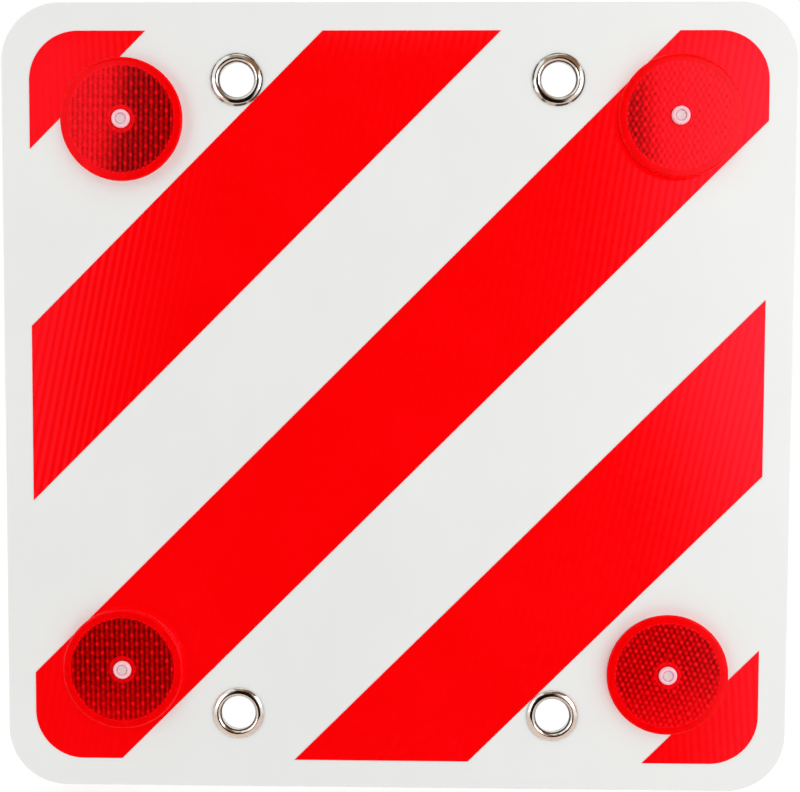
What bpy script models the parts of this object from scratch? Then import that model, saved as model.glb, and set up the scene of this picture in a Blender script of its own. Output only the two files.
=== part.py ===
"""Overhanging load sign, a square plate lashed to the end of a load that sticks out behind a vehicle.

The plate is a flexible white plastic sheet with rounded corners. Diagonal bands of red film are laid on
its front. A round red reflector is riveted on near each corner with a white two-piece snap rivet, and
four plated eyelets take the cords or hooks that hold the sign.

Everything is drawn in the panel's own coordinates: X to the right, Y up the panel and Z out of its front,
with Z = 0 on the plate's back face. The parent empty then stands the panel upright, so that its front
faces world -Y and world Z points up. All sizes are in metres.
"""
import math

import bmesh
import bpy
from mathutils import Matrix, Vector

# Plate
PLATE_SIDE = 0.500
PLATE_THICKNESS = 0.002
PLATE_CORNER_RADIUS = 0.037
CORNER_STEPS = 6

# Gap left between pieces that touch, and the thinner one left for glue
SEAT_GAP = 0.0003
GLUE_GAP = 0.0001

# Red film: a field inside a white margin, in bands at 45 degrees
FILM_THICKNESS = 0.0002
FIELD_MARGIN = 0.0176
FIELD_CORNER_RADIUS = 0.031
FIELD_HALF_SIDE = PLATE_SIDE / 2 - FIELD_MARGIN
FIELD_DIAGONAL = 2 * math.sqrt(2) * FIELD_HALF_SIDE
BANDS_ALONG_DIAGONAL = 8.32
BAND_WIDTH = FIELD_DIAGONAL / BANDS_ALONG_DIAGONAL

# Eyelets, a fifth of the plate's width off its middle line and near its top and bottom edges
EYELET_EDGE_DISTANCE = 0.048
EYELET_WIDTH_SHARE = 0.202
EYELET_X = PLATE_SIDE * EYELET_WIDTH_SHARE
EYELET_Y = PLATE_SIDE / 2 - EYELET_EDGE_DISTANCE
EYELET_SHEET = 0.00055
EYELET_HOLE_RADIUS = 0.01075
EYELET_FLANGE_RADIUS = 0.0165
EYELET_CROWN_RADIUS = 0.0132
EYELET_CROWN_HEIGHT = 0.0023
EYELET_THROAT_DEPTH = 0.0009
EYELET_TAIL_WIDTH = 0.0037
EYELET_TAIL_DEPTH = 0.0015
EYELET_SEGMENTS = 20
EYELET_CLEARANCE = 0.0005

# Washer behind each eyelet, with a seat for the rolled tail
WASHER_RADIUS = 0.0163
WASHER_THICKNESS = 0.0010
WASHER_SEAT_DEPTH = 0.0004
WASHER_SEAT_MARGIN = 0.00015
WASHER_SLOPE = 0.0003

# Reflectors near the corners. They are riveted on by hand, so each is a little off its square place.
REFLECTOR_EDGE_DISTANCE = 0.0753
REFLECTOR_X = PLATE_SIDE / 2 - REFLECTOR_EDGE_DISTANCE
REFLECTOR_Y = PLATE_SIDE / 2 - REFLECTOR_EDGE_DISTANCE
REFLECTOR_PLACES = {
    "top_left": (0.0021 - REFLECTOR_X, REFLECTOR_Y + 0.0015),
    "top_right": (REFLECTOR_X + 0.0012, REFLECTOR_Y + 0.0037),
    "bottom_left": (0.0005 - REFLECTOR_X, 0.0024 - REFLECTOR_Y),
    "bottom_right": (REFLECTOR_X - 0.0017, 0.0016 - REFLECTOR_Y),
}
REFLECTOR_TURNS = {"top_left": 89.0, "top_right": 58.0, "bottom_left": 90.7, "bottom_right": 52.4}
LENS_RADIUS = 0.0387
LENS_WALL = 0.0013
LENS_DRAFT = 0.0013
LENS_BASE_RADIUS = LENS_RADIUS - LENS_DRAFT
LENS_ROUND_WIDTH = 0.0014
LENS_ROUND_DEPTH = 0.0014
LENS_ROUND_STEPS = 3
LENS_FLAT_RADIUS = LENS_RADIUS - LENS_ROUND_WIDTH
LENS_RIM_WIDTH = 0.0049
LENS_POCKET_RADIUS = LENS_RADIUS - LENS_RIM_WIDTH
LENS_SEGMENTS = 36
COVER_THICKNESS = 0.0012
COVER_INSET = 0.0004
COVER_SEGMENTS = 28

# Corner-cube prisms moulded in the back of the lens, in whole cells between its hub and its rim
PRISM_PITCH = 0.0045
PRISM_FIELD_CLEARANCE = 0.0004

# Snap rivet: a sleeve with split legs, and the pin that spreads them
RIVET_HEAD_RADIUS = 0.0058
RIVET_HEAD_HEIGHT = 0.0017
RIVET_RECESS_RADIUS = 0.0033
RIVET_RECESS_DEPTH = 0.0013
RIVET_SHANK_RADIUS = 0.0031
RIVET_BORE_RADIUS = 0.0017
RIVET_BULGE_RADIUS = 0.0049
RIVET_BULGE_DEPTH = 0.0018
RIVET_LEG_REACH = 0.0062
RIVET_TIP_RADIUS = 0.0026
RIVET_SLOT_WIDTH = 0.0008
RIVET_SLOT_TOP = 0.0010
RIVET_SEGMENTS = 16
PIN_SHAFT_RADIUS = 0.0014
PIN_HEAD_SINK = 0.0006
PIN_SEGMENTS = 12

# The lens's hub round its rivet
LENS_HUB_WIDTH = 0.0052
LENS_HUB_RADIUS = RIVET_SHANK_RADIUS + SEAT_GAP + LENS_HUB_WIDTH

# Heights worked out from the sizes above, along the panel's Z
FRONT = PLATE_THICKNESS
FILM_BACK = FRONT + GLUE_GAP
FILM_FRONT = FILM_BACK + FILM_THICKNESS
REFLECTOR_BACK = FILM_FRONT + SEAT_GAP
COVER_FRONT = REFLECTOR_BACK + COVER_THICKNESS
LENS_BACK = COVER_FRONT + SEAT_GAP
PRISM_SIDE = PRISM_PITCH / math.sqrt(3)
PRISM_STEP = PRISM_SIDE / math.sqrt(2)
PRISM_TIP = LENS_BACK + GLUE_GAP
PRISM_FLOOR = PRISM_TIP + 2 * PRISM_STEP
LENS_FRONT = PRISM_FLOOR + LENS_WALL
RIVET_SEAT = LENS_FRONT + SEAT_GAP
RIVET_FRONT = RIVET_SEAT + RIVET_HEAD_HEIGHT
RIVET_HOLE_RADIUS = RIVET_SHANK_RADIUS + SEAT_GAP
EYELET_BARREL_RADIUS = EYELET_HOLE_RADIUS + EYELET_SHEET
EYELET_PLATE_HOLE_RADIUS = EYELET_BARREL_RADIUS + EYELET_CLEARANCE
WASHER_BACK = -SEAT_GAP - WASHER_THICKNESS
WASHER_SEAT = WASHER_BACK + WASHER_SEAT_DEPTH
EYELET_PLACES = {
    "top_left": (-EYELET_X, EYELET_Y),
    "top_right": (EYELET_X, EYELET_Y),
    "bottom_left": (-EYELET_X, -EYELET_Y),
    "bottom_right": (EYELET_X, -EYELET_Y),
}


def clear_scene():
    for thing in list(bpy.data.objects):
        bpy.data.objects.remove(thing, do_unlink=True)


def finish(name, colour, roughness, alpha=1.0, metallic=0.0):
    """A Principled material. An alpha below 1 lets the inside of a clear moulding show."""
    material = bpy.data.materials.new(name)
    material.use_nodes = True
    shader = material.node_tree.nodes["Principled BSDF"]
    shader.inputs["Base Color"].default_value = (*colour, 1.0)
    shader.inputs["Roughness"].default_value = roughness
    shader.inputs["Metallic"].default_value = metallic
    shader.inputs["Alpha"].default_value = alpha
    material.diffuse_color = (*colour, alpha)
    return material


def arc(centre, radii, start, end, steps):
    """Points on an elliptical arc, both ends included, with angles in degrees."""
    points = []
    for step in range(steps + 1):
        angle = math.radians(start + (end - start) * step / steps)
        points.append((centre[0] + radii[0] * math.cos(angle), centre[1] + radii[1] * math.sin(angle)))
    return points


def rounded_square(half_side, radius):
    """The outline of a square with round corners, anticlockwise."""
    inset = half_side - radius
    corners = [(inset, inset, 0), (-inset, inset, 90), (-inset, -inset, 180), (inset, -inset, 270)]
    outline = []
    for x, y, start in corners:
        outline += arc((x, y), (radius, radius), start, start + 90, CORNER_STEPS)
    return outline


def across_bands(point):
    """Distance from the panel's centre across the bands, which rise to the right at 45 degrees."""
    return (point[0] - point[1]) / math.sqrt(2)


def cut_outline(outline, limit, keep_above):
    """Cuts a convex outline along a band's edge and keeps one side of it."""
    side = 1 if keep_above else -1
    kept = []
    for here, after in zip(outline, outline[1:] + outline[:1]):
        near = side * (across_bands(here) - limit)
        far = side * (across_bands(after) - limit)
        if near >= 0:
            kept.append(here)
        if near * far < 0:
            share = near / (near - far)
            kept.append(tuple(a + (b - a) * share for a, b in zip(here, after)))
    return kept


def slab(outline, bottom, top):
    """A flat piece with the given outline."""
    shape = bmesh.new()
    verts = [shape.verts.new((x, y, bottom)) for x, y in outline]
    face = shape.faces.new(verts)
    lifted = bmesh.ops.extrude_face_region(shape, geom=[face])
    moved = [item for item in lifted["geom"] if isinstance(item, bmesh.types.BMVert)]
    bmesh.ops.translate(shape, vec=(0, 0, top - bottom), verts=moved)
    bmesh.ops.recalc_face_normals(shape, faces=shape.faces)
    return shape


def turned(profile, segments):
    """A ring turned about Z from a closed profile of (radius, height) points."""
    shape = bmesh.new()
    verts = [shape.verts.new((radius, 0, height)) for radius, height in profile]
    edges = [shape.edges.new(pair) for pair in zip(verts, verts[1:] + verts[:1])]
    bmesh.ops.spin(
        shape, geom=verts + edges, cent=(0, 0, 0), axis=(0, 0, 1), angle=math.tau, steps=segments,
        use_merge=True,
    )
    bmesh.ops.remove_doubles(shape, verts=shape.verts, dist=1e-7)
    bmesh.ops.recalc_face_normals(shape, faces=shape.faces)
    return shape


def rods(places, radius, bottom, top, segments):
    """Upright cylinders in one mesh, one at each place."""
    shape = bmesh.new()
    for x, y in places:
        middle = Matrix.Translation((x, y, (bottom + top) / 2))
        bmesh.ops.create_cone(
            shape, cap_ends=True, segments=segments, radius1=radius, radius2=radius,
            depth=top - bottom, matrix=middle,
        )
    return shape


def add_piece(name, shape, material, panel, place=(0, 0), turn=0.0):
    """Makes one object of the sign, at its place on the panel."""
    mesh = bpy.data.meshes.new(name)
    shape.to_mesh(mesh)
    shape.free()
    mesh.materials.append(material)
    mesh.shade_smooth()
    mesh.set_sharp_from_angle(angle=math.radians(32))
    piece = bpy.data.objects.new(name, mesh)
    bpy.context.collection.objects.link(piece)
    piece.parent = panel
    piece.location = (*place, 0)
    piece.rotation_euler = (0, 0, math.radians(turn))
    return piece


def add_guide(name, shape, parent, place=(0, 0), turn=0.0):
    """A guide shape, which is cut out of a piece or joined to it and isn't part of the sign itself."""
    mesh = bpy.data.meshes.new(name)
    shape.to_mesh(mesh)
    shape.free()
    guide = bpy.data.objects.new(name, mesh)
    bpy.context.collection.objects.link(guide)
    guide.parent = parent
    guide.location = (*place, 0)
    guide.rotation_euler = (0, 0, math.radians(turn))
    guide.hide_render = True
    guide.display_type = "WIRE"
    return guide


def combine(piece, guide, operation):
    modifier = piece.modifiers.new(guide.name, "BOOLEAN")
    modifier.operation = operation
    modifier.solver = "EXACT"
    modifier.object = guide


# Plate with its holes
def make_plate(panel, material, holes):
    shape = slab(rounded_square(PLATE_SIDE / 2, PLATE_CORNER_RADIUS), 0, PLATE_THICKNESS)
    plate = add_piece("plate", shape, material, panel)
    for guide in holes:
        combine(plate, guide, "DIFFERENCE")


# Red film, one piece for each band of the pattern
def make_films(panel, material, rivet_holes):
    names = ["red_corner_upper_left", "red_band_upper_left", "red_band_centre",
             "red_band_lower_right", "red_corner_lower_right"]
    field = rounded_square(FIELD_HALF_SIDE, FIELD_CORNER_RADIUS)
    for name, step in zip(names, (-4, -2, 0, 2, 4)):
        outline = cut_outline(field, BAND_WIDTH * (step - 0.5), keep_above=True)
        outline = cut_outline(outline, BAND_WIDTH * (step + 0.5), keep_above=False)
        film = add_piece(name, slab(outline, FILM_BACK, FILM_FRONT), material, panel)
        if name == "red_band_centre":
            combine(film, rivet_holes, "DIFFERENCE")


# Eyelet: one stamped tube whose flange rolls over the front and whose tail rolls over the washer
def eyelet_profile():
    foot = FRONT + SEAT_GAP
    crown = foot + EYELET_CROWN_HEIGHT
    throat = FRONT - EYELET_THROAT_DEPTH
    tail = WASHER_SEAT - SEAT_GAP
    flange_width = EYELET_FLANGE_RADIUS - EYELET_CROWN_RADIUS
    throat_width = EYELET_CROWN_RADIUS - EYELET_HOLE_RADIUS
    tail_middle = EYELET_HOLE_RADIUS + EYELET_TAIL_WIDTH / 2

    def side(thickness, flange_steps, mouth_steps, roll_steps):
        """The line of the sheet, this far inside its shown side."""
        flange = (flange_width - thickness, EYELET_CROWN_HEIGHT - thickness)
        mouth = (throat_width - thickness, crown - throat - thickness)
        roll = (EYELET_TAIL_WIDTH / 2 - thickness, EYELET_TAIL_DEPTH - thickness)
        line = arc((EYELET_CROWN_RADIUS, foot), flange, 0, 90, flange_steps)
        line += arc((EYELET_CROWN_RADIUS, throat), mouth, 90, 180, mouth_steps)[1:]
        line += arc((tail_middle, tail), roll, 180, 360, roll_steps)
        return line

    return side(0, 3, 3, 3) + side(EYELET_SHEET, 1, 2, 2)[::-1]


def washer_profile():
    seat_radius = EYELET_HOLE_RADIUS + EYELET_TAIL_WIDTH + WASHER_SEAT_MARGIN
    return [
        (EYELET_PLATE_HOLE_RADIUS, -SEAT_GAP),
        (WASHER_RADIUS, -SEAT_GAP),
        (WASHER_RADIUS, WASHER_BACK),
        (seat_radius + WASHER_SLOPE, WASHER_BACK),
        (seat_radius, WASHER_SEAT),
        (EYELET_PLATE_HOLE_RADIUS, WASHER_SEAT),
    ]


def make_eyelets(panel, eyelet_metal, washer_metal):
    for corner, place in EYELET_PLACES.items():
        ring = turned(eyelet_profile(), EYELET_SEGMENTS)
        add_piece("eyelet_" + corner, ring, eyelet_metal, panel, place)
        washer = turned(washer_profile(), EYELET_SEGMENTS)
        add_piece("eyelet_washer_" + corner, washer, washer_metal, panel, place)


# Lens blank: a clear cup, smooth in front, with a hub round the rivet hole and a wall round its edge.
# The wall is widest at its front lip and narrows towards the plate.
def lens_profile():
    round_over = arc((LENS_FLAT_RADIUS, LENS_FRONT - LENS_ROUND_DEPTH),
                     (LENS_RADIUS - LENS_FLAT_RADIUS, LENS_ROUND_DEPTH), 90, 0, LENS_ROUND_STEPS)
    return [
        (RIVET_HOLE_RADIUS, LENS_FRONT),
        *round_over,
        (LENS_BASE_RADIUS, LENS_BACK),
        (LENS_POCKET_RADIUS, LENS_BACK),
        (LENS_POCKET_RADIUS, PRISM_FLOOR),
        (LENS_HUB_RADIUS, PRISM_FLOOR),
        (LENS_HUB_RADIUS, LENS_BACK),
        (RIVET_HOLE_RADIUS, LENS_BACK),
    ]


def prism_field():
    """The corner-cube prisms, standing on the floor of the lens's pocket and sunk a little into it.

    Such a field is a wall of cubes seen along their long diagonal. Seen from the front it is a triangular
    lattice whose points take three depths in turn, and each square cube face becomes a rhombus. With a
    step of the lattice's side over the square root of 2, the three faces round each tip stand square to
    one another, so light goes back to where it came from. Only whole prisms are moulded, which leaves
    the stepped outline that such lenses show.
    """
    right = Vector((PRISM_SIDE, 0))
    slant = Vector((PRISM_SIDE / 2, PRISM_SIDE * math.sqrt(3) / 2))
    reach = int(LENS_RADIUS / slant.y) + 1
    nearest = LENS_HUB_RADIUS + PRISM_FIELD_CLEARANCE + PRISM_SIDE
    farthest = LENS_POCKET_RADIUS - PRISM_FIELD_CLEARANCE - PRISM_SIDE
    around = [(1, 0), (0, 1), (-1, 1), (-1, 0), (0, -1), (1, -1)]
    shape = bmesh.new()
    lattice = {}

    def point(column, row):
        if (column, row) not in lattice:
            flat = right * column + slant * row
            level = (column - row) % 3
            height = (PRISM_TIP, PRISM_TIP + PRISM_STEP, PRISM_FLOOR)[level]
            lattice[column, row] = shape.verts.new((flat.x, flat.y, height))
        return lattice[column, row]

    for column in range(-reach, reach + 1):
        for row in range(-reach, reach + 1):
            distance = (right * column + slant * row).length
            if (column - row) % 3 or not nearest <= distance <= farthest:
                continue
            rim = [point(column + c, row + r) for c, r in around]
            for low in (0, 2, 4):
                shape.faces.new((point(column, row), rim[low], rim[low + 1], rim[(low + 2) % 6]))
    sunk = bmesh.ops.extrude_face_region(shape, geom=list(shape.faces))
    for item in sunk["geom"]:
        if isinstance(item, bmesh.types.BMVert):
            item.co.z = PRISM_FLOOR + LENS_WALL / 2
    bmesh.ops.recalc_face_normals(shape, faces=shape.faces)
    bmesh.ops.rotate(shape, verts=shape.verts, matrix=Matrix.Rotation(math.radians(30), 3, "Z"))
    return shape


def cover_profile():
    """The round plate that is welded over the back of the lens."""
    outer = LENS_BASE_RADIUS - COVER_INSET
    return [
        (RIVET_HOLE_RADIUS, COVER_FRONT),
        (outer, COVER_FRONT),
        (outer, REFLECTOR_BACK),
        (RIVET_HOLE_RADIUS, REFLECTOR_BACK),
    ]


def sleeve_profile():
    """The rivet's sleeve with its legs already spread behind the plate."""
    edge = (RIVET_HEAD_RADIUS - RIVET_RECESS_RADIUS) * 0.6
    dome = arc((RIVET_HEAD_RADIUS - edge, RIVET_SEAT), (edge, RIVET_HEAD_HEIGHT), 90, 0, 3)
    return [
        (RIVET_BORE_RADIUS, RIVET_FRONT - RIVET_RECESS_DEPTH),
        (RIVET_RECESS_RADIUS, RIVET_FRONT - RIVET_RECESS_DEPTH),
        (RIVET_RECESS_RADIUS, RIVET_FRONT),
        *dome,
        (RIVET_SHANK_RADIUS, RIVET_SEAT),
        (RIVET_SHANK_RADIUS, -SEAT_GAP),
        (RIVET_BULGE_RADIUS, -RIVET_BULGE_DEPTH),
        (RIVET_BULGE_RADIUS, -RIVET_BULGE_DEPTH * 1.6),
        (RIVET_TIP_RADIUS, -RIVET_LEG_REACH),
        (RIVET_BORE_RADIUS, -RIVET_LEG_REACH),
    ]


def pin_profile():
    head_front = RIVET_FRONT - PIN_HEAD_SINK
    head_back = RIVET_FRONT - RIVET_RECESS_DEPTH + SEAT_GAP
    end = -RIVET_LEG_REACH + PIN_SHAFT_RADIUS
    return [
        (0, head_front),
        (RIVET_RECESS_RADIUS - SEAT_GAP, head_front),
        (RIVET_RECESS_RADIUS - SEAT_GAP, head_back),
        (PIN_SHAFT_RADIUS, head_back),
        (PIN_SHAFT_RADIUS, end),
        (0, end - PIN_SHAFT_RADIUS / 2),
    ]


def slot_shape():
    """Two crossed blades that split the rivet's end into four legs."""
    shape = bmesh.new()
    bottom = -RIVET_LEG_REACH * 1.3
    middle = Matrix.Translation((0, 0, (RIVET_SLOT_TOP + bottom) / 2))
    long_side = RIVET_BULGE_RADIUS * 3
    for blade in ((long_side, RIVET_SLOT_WIDTH), (RIVET_SLOT_WIDTH, long_side)):
        size = Matrix.Diagonal((*blade, RIVET_SLOT_TOP - bottom, 1))
        bmesh.ops.create_cube(shape, size=1, matrix=middle @ size)
    return shape


def make_reflectors(panel, lens_plastic, cover_plastic, rivet_plastic, pin_plastic):
    for corner, place in REFLECTOR_PLACES.items():
        turn = REFLECTOR_TURNS[corner]
        lens = add_piece("reflector_lens_" + corner, turned(lens_profile(), LENS_SEGMENTS),
                         lens_plastic, panel, place, turn)
        combine(lens, add_guide("prisms_" + corner, prism_field(), lens), "UNION")
        add_piece("reflector_back_" + corner, turned(cover_profile(), COVER_SEGMENTS),
                  cover_plastic, panel, place)
        sleeve = add_piece("rivet_sleeve_" + corner, turned(sleeve_profile(), RIVET_SEGMENTS),
                           rivet_plastic, panel, place, turn)
        combine(sleeve, add_guide("slots_" + corner, slot_shape(), sleeve), "DIFFERENCE")
        add_piece("rivet_pin_" + corner, turned(pin_profile(), PIN_SEGMENTS), pin_plastic, panel, place)


def main():
    clear_scene()
    panel = bpy.data.objects.new("panel", None)
    bpy.context.collection.objects.link(panel)
    panel.rotation_euler = (math.radians(90), 0, 0)

    white = finish("plate_white", (0.80, 0.80, 0.79), 0.45)
    red_film = finish("film_red", (0.78, 0.010, 0.018), 0.35)
    clear_red = finish("lens_red", (0.72, 0.004, 0.010), 0.08, alpha=0.72)
    cover_white = finish("reflector_back_white", (0.74, 0.74, 0.73), 0.40)
    nylon = finish("rivet_nylon", (0.82, 0.78, 0.77), 0.38)
    pin_nylon = finish("rivet_pin_nylon", (0.66, 0.65, 0.64), 0.38)
    nickel = finish("eyelet_nickel", (0.62, 0.58, 0.52), 0.18, metallic=1.0)
    washer_nickel = finish("washer_nickel", (0.60, 0.57, 0.52), 0.25, metallic=1.0)

    eyelet_holes = rods(EYELET_PLACES.values(), EYELET_PLATE_HOLE_RADIUS, -FRONT, FRONT * 2, EYELET_SEGMENTS)
    rivet_holes = rods(REFLECTOR_PLACES.values(), RIVET_HOLE_RADIUS, -FRONT, FRONT * 2, RIVET_SEGMENTS)
    eyelet_guide = add_guide("eyelet_holes", eyelet_holes, panel)
    rivet_guide = add_guide("rivet_holes", rivet_holes, panel)

    make_plate(panel, white, [eyelet_guide, rivet_guide])
    make_films(panel, red_film, rivet_guide)
    make_eyelets(panel, nickel, washer_nickel)
    make_reflectors(panel, clear_red, cover_white, nylon, pin_nylon)


main()
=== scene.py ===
"""Looks of the overhanging load sign: finishes, finer pieces, camera, light and floor.

The panel's own coordinates are the same as in the part's source: X to the right, Y up the panel, Z out
of the striped front, with Z = 0 on the plate's back face. Lengths are in metres.
"""

import math

import bmesh
import bpy
from mathutils import Matrix, Vector
from mathutils.geometry import delaunay_2d_cdt


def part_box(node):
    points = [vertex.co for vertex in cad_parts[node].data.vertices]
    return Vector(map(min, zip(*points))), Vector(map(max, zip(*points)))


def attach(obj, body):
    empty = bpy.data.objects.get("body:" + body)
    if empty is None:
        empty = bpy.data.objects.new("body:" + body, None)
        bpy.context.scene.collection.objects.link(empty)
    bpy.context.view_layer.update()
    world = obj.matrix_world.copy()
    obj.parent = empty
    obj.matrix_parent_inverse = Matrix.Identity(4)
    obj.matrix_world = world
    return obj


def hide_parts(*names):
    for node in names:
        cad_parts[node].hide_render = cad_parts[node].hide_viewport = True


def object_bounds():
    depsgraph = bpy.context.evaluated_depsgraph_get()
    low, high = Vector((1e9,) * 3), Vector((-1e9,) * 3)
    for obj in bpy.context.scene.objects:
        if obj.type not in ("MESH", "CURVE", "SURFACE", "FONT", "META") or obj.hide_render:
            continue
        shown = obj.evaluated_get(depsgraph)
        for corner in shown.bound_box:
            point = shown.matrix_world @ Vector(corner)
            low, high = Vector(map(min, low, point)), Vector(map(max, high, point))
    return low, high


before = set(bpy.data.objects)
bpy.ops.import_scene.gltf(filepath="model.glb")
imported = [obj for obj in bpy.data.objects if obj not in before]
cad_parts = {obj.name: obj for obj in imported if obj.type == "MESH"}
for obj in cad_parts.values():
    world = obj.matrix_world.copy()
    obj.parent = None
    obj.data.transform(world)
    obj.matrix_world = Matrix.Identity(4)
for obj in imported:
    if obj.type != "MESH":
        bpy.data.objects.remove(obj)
cad_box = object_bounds()

CORNERS = ("top_left", "top_right", "bottom_left", "bottom_right")
TO_WORLD = Matrix.Rotation(math.radians(90), 4, "X")

# Plate and film, as in the part's source
PLATE_HALF_SIDE = 0.250
PLATE_THICKNESS = 0.002
PLATE_CORNER_RADIUS = 0.037
EDGE_BREAK = 0.00025
FILM_BACK = 0.0021
FILM_FRONT = 0.0023
FIELD_HALF_SIDE = 0.2324
FIELD_CORNER_RADIUS = 0.031
BAND_WIDTH = 2 * math.sqrt(2) * FIELD_HALF_SIDE / 8.32
CORNER_STEPS = 28
HOLE_STEPS = 72

# How far the ribs of each film piece lean, in degrees, and how high they are. A wave texture of
# scale 1 repeats every WAVE_LENGTH metres.
WAVE_LENGTH = 0.314
RIB_PITCH = 0.00468
RIB_STRETCH = 8.0
RIBS = {
    "red_corner_upper_left": (-2.0, 0.000060),
    "red_band_upper_left": (11.5, 0.000060),
    "red_band_centre": (9.0, 0.000032),
    "red_band_lower_right": (12.0, 0.000028),
    "red_corner_lower_right": (-4.0, 0.000022),
}

# Eyelets and washers
EYELET_SEGMENTS = 96
EYELET_HOLE_RADIUS = 0.01075
EYELET_FLANGE_RADIUS = 0.0165
EYELET_CROWN_RADIUS = 0.0132
FLANGE_FULLNESS = 1.5
MOUTH_FULLNESS = 1.7
EYELET_FOOT = 0.0023
EYELET_CROWN = 0.0044
EYELET_THROAT = 0.0011
EYELET_SHEET = 0.00055
EYELET_TAIL = -0.0012
EYELET_TAIL_WIDTH = 0.0037
EYELET_TAIL_DEPTH = 0.0015
EYELET_FLARE = 0.00045
PLATE_HOLE_RADIUS = 0.0118
WASHER_RADIUS = 0.0163
WASHER_FRONT = -0.0003
WASHER_BACK = -0.0013
WASHER_SEAT = -0.0009
WASHER_EDGE = 0.00012
WASHER_PLAY = 0.00015
WASHER_STEP = 0.0003

# Where painted shade lies on an eyelet, in its throat and along the rim of its flange, as the radii between
# which it comes in and goes out
THROAT_SHADE = (0.01080, 0.01110, 0.01145, 0.01175)
RIM_SHADOW = (0.01535, 0.01565)
PAINTED_SHADE_COLOUR = (0.06, 0.042, 0.034, 1.0)

# Reflectors
REFLECTOR_TURNS = {"top_left": 89.0, "top_right": 58.0, "bottom_left": 90.7, "bottom_right": 52.4}
LENS_SEGMENTS = 128
LENS_RADIUS = 0.0385
LENS_BASE_RADIUS = 0.0373
LENS_FLAT_RADIUS = 0.0371
LENS_POCKET_RADIUS = 0.0338
LENS_FIELD_RADIUS = 0.0333
LENS_HUB_RADIUS = 0.0086
LENS_FRONT = 0.00917
LENS_BACK = 0.0041
LENS_ROUND_DEPTH = 0.0014
PRISM_FLOOR = 0.00787
PRISM_PITCH = 0.00367
PRISM_CLEARANCE = 0.0004
PRISM_TIP_FLAT = 0.16
RIVET_HOLE_RADIUS = 0.0034

# How each lens shows its prisms, as painted light and shade: the bright and dark of the prisms' reflection
# is painted into the colour. A wave of light and dark runs across each of their rows, first the three rows
# at the prisms' own pitch and then the three between every third prism. The painted shade goes from base to
# base + rise over a width in metres, from a start along a direction on the panel. The hub is the painted
# shade of the solid middle, and the floor keeps some contrast where the lens is bright.
ROW_ANGLES = (90, 30, 150)
CROSS_ANGLES = (0, 60, 120)
LENS_LOOKS = {
    "top_left": {
        "rows": (1.00, 0.14, 0.20), "crosses": (0.27, 0.19, 0.26), "contrast": 0.27,
        "direction": 170, "start": -0.007, "width": 0.022, "base": 0.36, "rise": 0.45,
        "hub": 0.82, "floor": 0.7,
    },
    "top_right": {
        "rows": (1.00, 0.30, 1.00), "crosses": (0.47, 0.43, 0.47), "contrast": 0.19,
        "direction": 185, "start": 0.008, "width": 0.022, "base": 1.04, "rise": -0.50,
        "hub": 1.0, "floor": 0.75,
    },
    "bottom_left": {
        "rows": (1.00, 0.15, 0.22), "crosses": (0.38, 0.25, 0.22), "contrast": 0.26,
        "direction": 260, "start": -0.001, "width": 0.060, "base": 0.37, "rise": 0.42,
        "hub": 0.76, "floor": 0.0,
    },
    "bottom_right": {
        "rows": (0.79, 0.48, 1.00), "crosses": (0.34, 0.31, 0.21), "contrast": 0.27,
        "direction": 285, "start": -0.007, "width": 0.046, "base": 0.56, "rise": 0.28,
        "hub": 0.86, "floor": 0.0,
    },
}
# Colours of the painted light and shade on the lens front, from dark to bright
LENS_SHADES = [
    (0.00, (0.102, 0.0002, 0.0002)), (0.23, (0.25, 0.0003, 0.0006)), (0.45, (0.48, 0.0006, 0.0012)),
    (0.64, (0.75, 0.0008, 0.0018)), (0.77, (0.95, 0.0015, 0.004)), (0.91, (1.0, 0.003, 0.010)),
    (1.00, (1.0, 0.006, 0.016)),
]
LENS_SHADE_TOP = 1.1
LENS_RIM_SHADE = 0.92
LENS_HEADROOM = 1.3
LENS_FIELD_SOFTNESS = 0.0002
LENS_FIELD_WAVINESS = 0.0005
COVER_RADIUS = 0.0369
COVER_BACK = 0.0026
COVER_FRONT = 0.0038

# Rivets
RIVET_SEGMENTS = 64
RIVET_SEAT = 0.00947
RIVET_FRONT = 0.01117
RIVET_HEAD_RADIUS = 0.0058
RIVET_RECESS_RADIUS = 0.0035
RIVET_RECESS_DEPTH = 0.0013
RIVET_RECESS_SOFT = 0.00045
RIVET_SHANK_RADIUS = 0.0031
RIVET_BORE_RADIUS = 0.0017
RIVET_TAIL = -0.0062
PIN_FRONT = 0.01037
PIN_HEAD_BACK = 0.00997
PIN_HEAD_RADIUS = 0.0032
PIN_HEAD_EDGE = 0.0003
PIN_SHANK_RADIUS = 0.0014

# Camera, solved from the plate's corners and the eyelets in the photograph
CAMERA_PLACE = (0.0140439, -0.7004911, 0.0351784)
CAMERA_RIGHT = (0.9998516, 0.0168029, 0.0037946)
CAMERA_UP = (-0.0045573, 0.0455884, 0.9989499)
CAMERA_BACK = (0.0166122, -0.9988190, 0.0456582)
CAMERA_LENS = 49.5
CAMERA_SENSOR = 36.0

# The dark studio screen behind the camera, which the gloss of the panel mirrors
SCREEN_PLACE = -0.72
SCREEN_LEFT, SCREEN_RIGHT = -0.60, 0.60
SCREEN_BOTTOM, SCREEN_TOP = -0.60, 0.40

# Floor: how far it reaches each way, how far it lies below the panel, and its own light to the camera
FLOOR_REACH = 3
FLOOR_REACH_BEHIND = 4
FLOOR_DROP = 0.0003
FLOOR_LIGHT = 0.22

WHITE = (1, 1, 1, 1)


def material(name, **sockets):
    """A Principled material. Returns it with its tree, its shader and its object coordinates."""
    new = bpy.data.materials.new(name)
    new.use_nodes = True
    tree = new.node_tree
    shader = tree.nodes["Principled BSDF"]
    for socket, value in sockets.items():
        shader.inputs[socket.replace("_", " ")].default_value = value
    coordinates = tree.nodes.new("ShaderNodeTexCoord").outputs["Object"]
    return new, tree, shader, coordinates


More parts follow.
